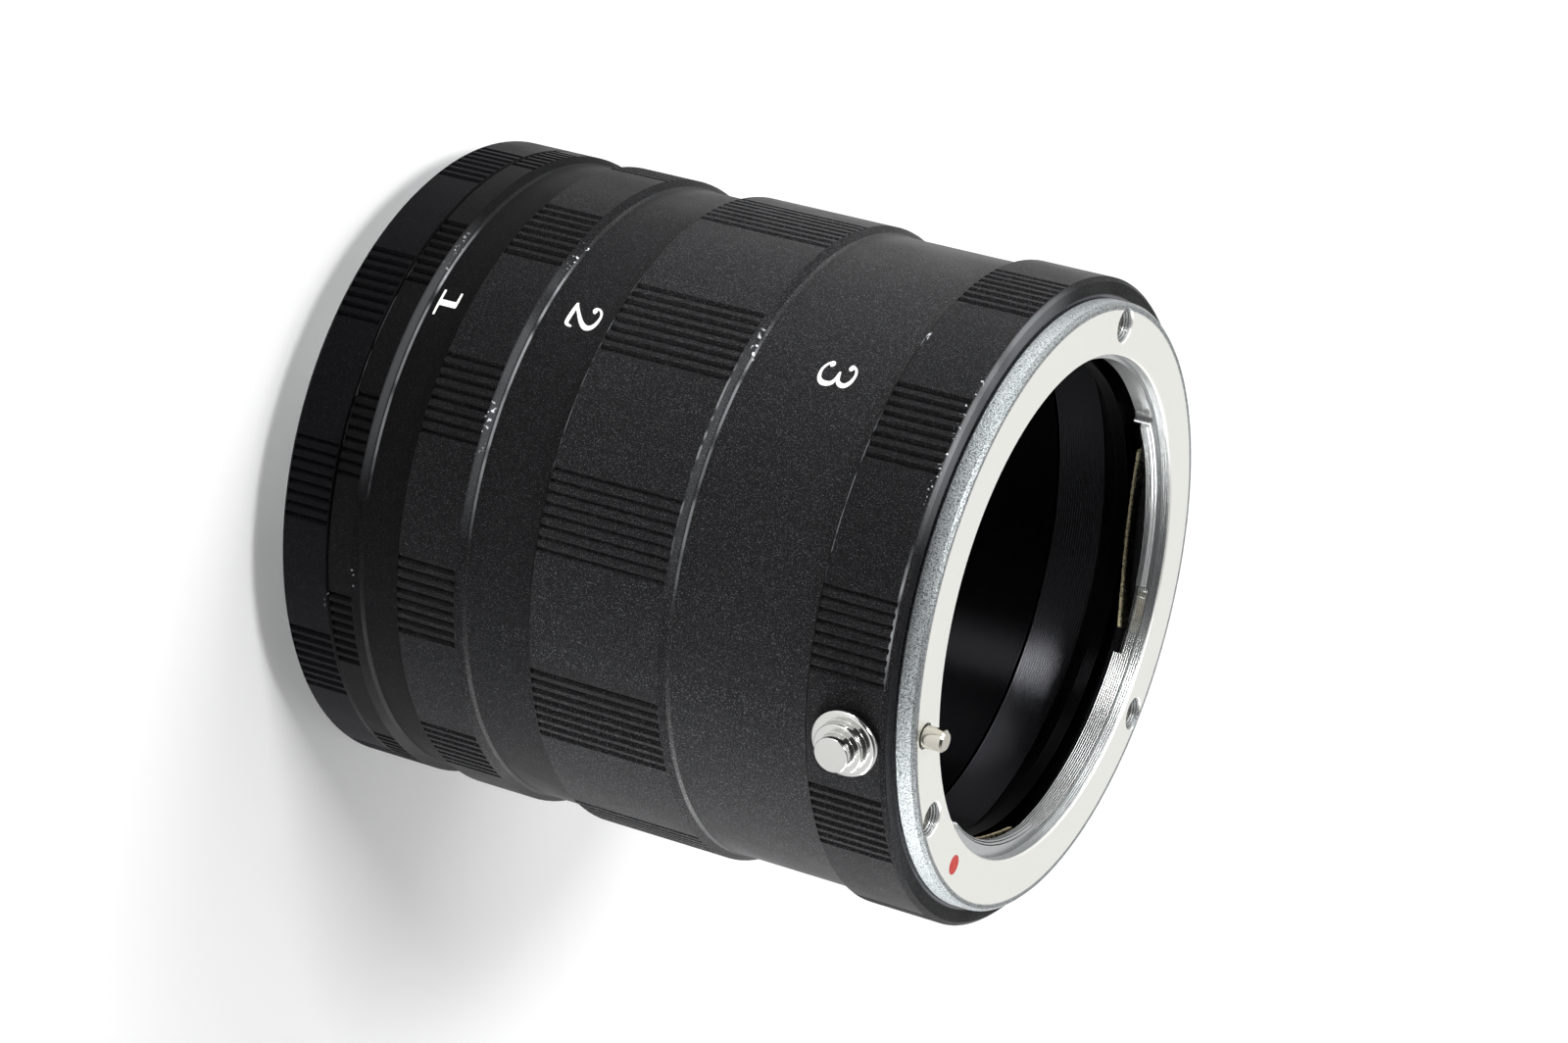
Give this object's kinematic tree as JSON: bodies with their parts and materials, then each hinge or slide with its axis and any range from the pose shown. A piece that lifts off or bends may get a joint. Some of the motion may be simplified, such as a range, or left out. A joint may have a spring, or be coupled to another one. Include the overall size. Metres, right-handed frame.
{
  "type": "macro extension tube set",
  "caption": "Stack of black screw-together macro extension tubes with grip patches, a silver lens bayonet with a lock pin and slide knob in front and a camera bayonet behind.",
  "frame": {"origin": "on the optical axis, at the end of the camera-side bayonet on which the set stands", "axes": "+Z along the optical axis towards the lens, -Y towards the release knob"},
  "size_m": [0.0602, 0.0632, 0.0699],
  "materials": {
    "black_anodised": "satin bead-blasted black anodised aluminium",
    "satin_chrome": "satin chromed brass",
    "bright_chrome": "polished chrome",
    "steel": "turned steel",
    "spring_brass": "rolled spring brass",
    "red_enamel": "red enamel"
  },
  "bodies": {
    "camera_end": {"rear_ring": "black_anodised", "rear_bayonet": "satin_chrome", "rear_bayonet_screws": "steel"},
    "short_tube": {"tube_1": "black_anodised"},
    "middle_tube": {"tube_2": "black_anodised"},
    "long_tube": {"tube_3": "black_anodised"},
    "lens_end": {"front_ring": "black_anodised", "front_bayonet": "satin_chrome", "front_bayonet_screws": "steel", "leaf_spring_1": "spring_brass", "leaf_spring_2": "spring_brass", "leaf_spring_3": "spring_brass", "pin_spring": "steel", "index_dot": "red_enamel"},
    "release": {"lock_pin": "steel", "release_knob": "bright_chrome"}
  },
  "joints": [
    {"name": "short_tube_unscrew", "type": "slide", "parent": "camera_end", "child": "short_tube", "axis": [0, 0, 1], "range_m": [0, 0.006]},
    {"name": "middle_tube_unscrew", "type": "slide", "parent": "short_tube", "child": "middle_tube", "axis": [0, 0, 1], "range_m": [0, 0.006]},
    {"name": "long_tube_unscrew", "type": "slide", "parent": "middle_tube", "child": "long_tube", "axis": [0, 0, 1], "range_m": [0, 0.006]},
    {"name": "lens_end_unscrew", "type": "slide", "parent": "long_tube", "child": "lens_end", "axis": [0, 0, 1], "range_m": [0, 0.006]},
    {"name": "lock_pin_slide", "type": "slide", "parent": "lens_end", "child": "release", "axis": [0, 0, -1], "range_m": [0, 0.002], "stiffness_N_per_m": 600, "springref_m": -0.0025, "deforming": ["pin_spring"]}
  ]
}
